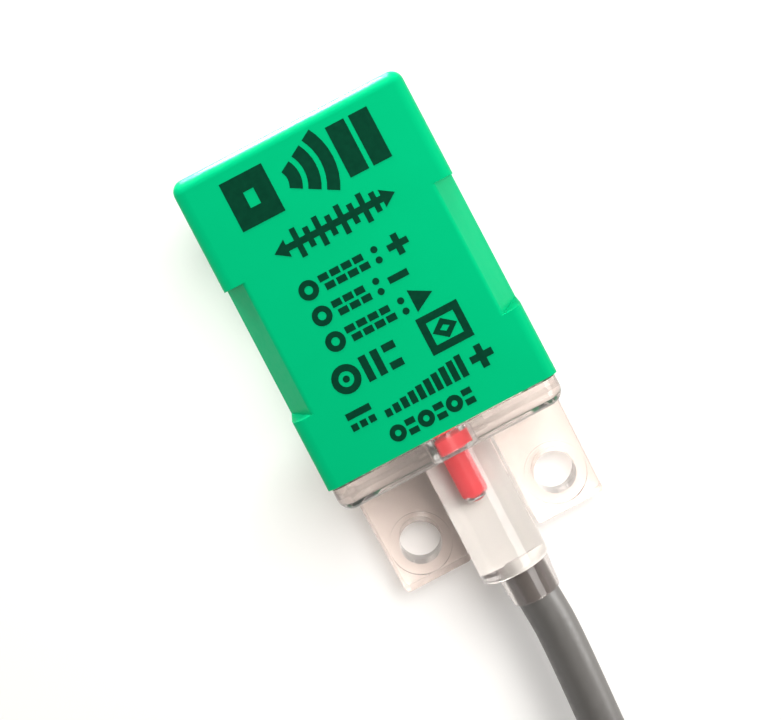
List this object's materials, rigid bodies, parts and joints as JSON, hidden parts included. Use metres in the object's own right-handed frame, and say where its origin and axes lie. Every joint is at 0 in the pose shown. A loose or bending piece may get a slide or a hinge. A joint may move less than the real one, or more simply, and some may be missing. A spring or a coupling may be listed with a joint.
{
  "type": "rectangular inductive proximity sensor",
  "caption": "Square block proximity sensor with a green housing, a clear rear cap with two screw ears and an indicator lamp, and a bendable flying lead.",
  "frame": {"origin": "midway between the two mounting holes, on the mounting face", "axes": "+Y out of the sensing face along the housing, +Z out of the printed face, +X across the ears"},
  "size_m": [0.018, 0.082, 0.018],
  "materials": {
    "housing_green": "moulded, satin-gloss",
    "clear_cap": "translucent clear moulding",
    "potting": "cast resin, cream",
    "ferrite": "sintered ferrite, matt",
    "bobbin": "moulded former",
    "copper_wire": "enamelled copper",
    "board": "glass-epoxy laminate with solder mask",
    "chip_black": "moulded package",
    "resistor_black": "thick-film chip",
    "capacitor_tan": "multilayer ceramic",
    "led_red": "diffused red epoxy, lit",
    "tinned_wire": "tinned copper",
    "solder": "solder",
    "jacket_grey": "soft PVC sheath",
    "core_brown": "PVC core",
    "core_blue": "PVC core",
    "core_black": "PVC core",
    "print_ink": "pad-printed ink"
  },
  "bodies": {
    "sensor": {"housing": "housing_green", "rear_cap": "clear_cap", "potting_resin": "potting", "ferrite_core": "ferrite", "coil_bobbin": "bobbin", "coil_winding": "copper_wire", "coil_leads": "copper_wire", "circuit_board": "board", "oscillator_chip": "chip_black", "output_transistor": "chip_black", "resistors": "resistor_black", "capacitors": "capacitor_tan", "protection_diodes": "chip_black", "indicator_led": "led_red", "led_leads": "tinned_wire", "solder_joints": "solder", "cable_jacket_inner": "jacket_grey", "brown_core_inner": "core_brown", "blue_core_inner": "core_blue", "black_core_inner": "core_black", "conductors_inner": "tinned_wire"},
    "cable_near": {"cable_jacket_near": "jacket_grey", "brown_core_near": "core_brown", "blue_core_near": "core_blue", "black_core_near": "core_black", "conductors_near": "tinned_wire"},
    "cable_far": {"cable_jacket_far": "jacket_grey", "brown_core_far": "core_brown", "blue_core_far": "core_blue", "black_core_far": "core_black", "conductors_far": "tinned_wire"}
  },
  "joints": [
    {"name": "cable_sideways_bend", "type": "hinge", "parent": "sensor", "child": "cable_near", "pos_m": [0.0004, -0.0105, 0.0086], "axis": [0, 0, 1], "range_deg": [-40, 40], "stiffness_Nm_per_rad": 0.004},
    {"name": "cable_upward_bend", "type": "hinge", "parent": "cable_near", "child": "cable_far", "pos_m": [0.0004, -0.0225, 0.0086], "axis": [-1, 0, 0], "range_deg": [-40, 40], "stiffness_Nm_per_rad": 0.004}
  ]
}
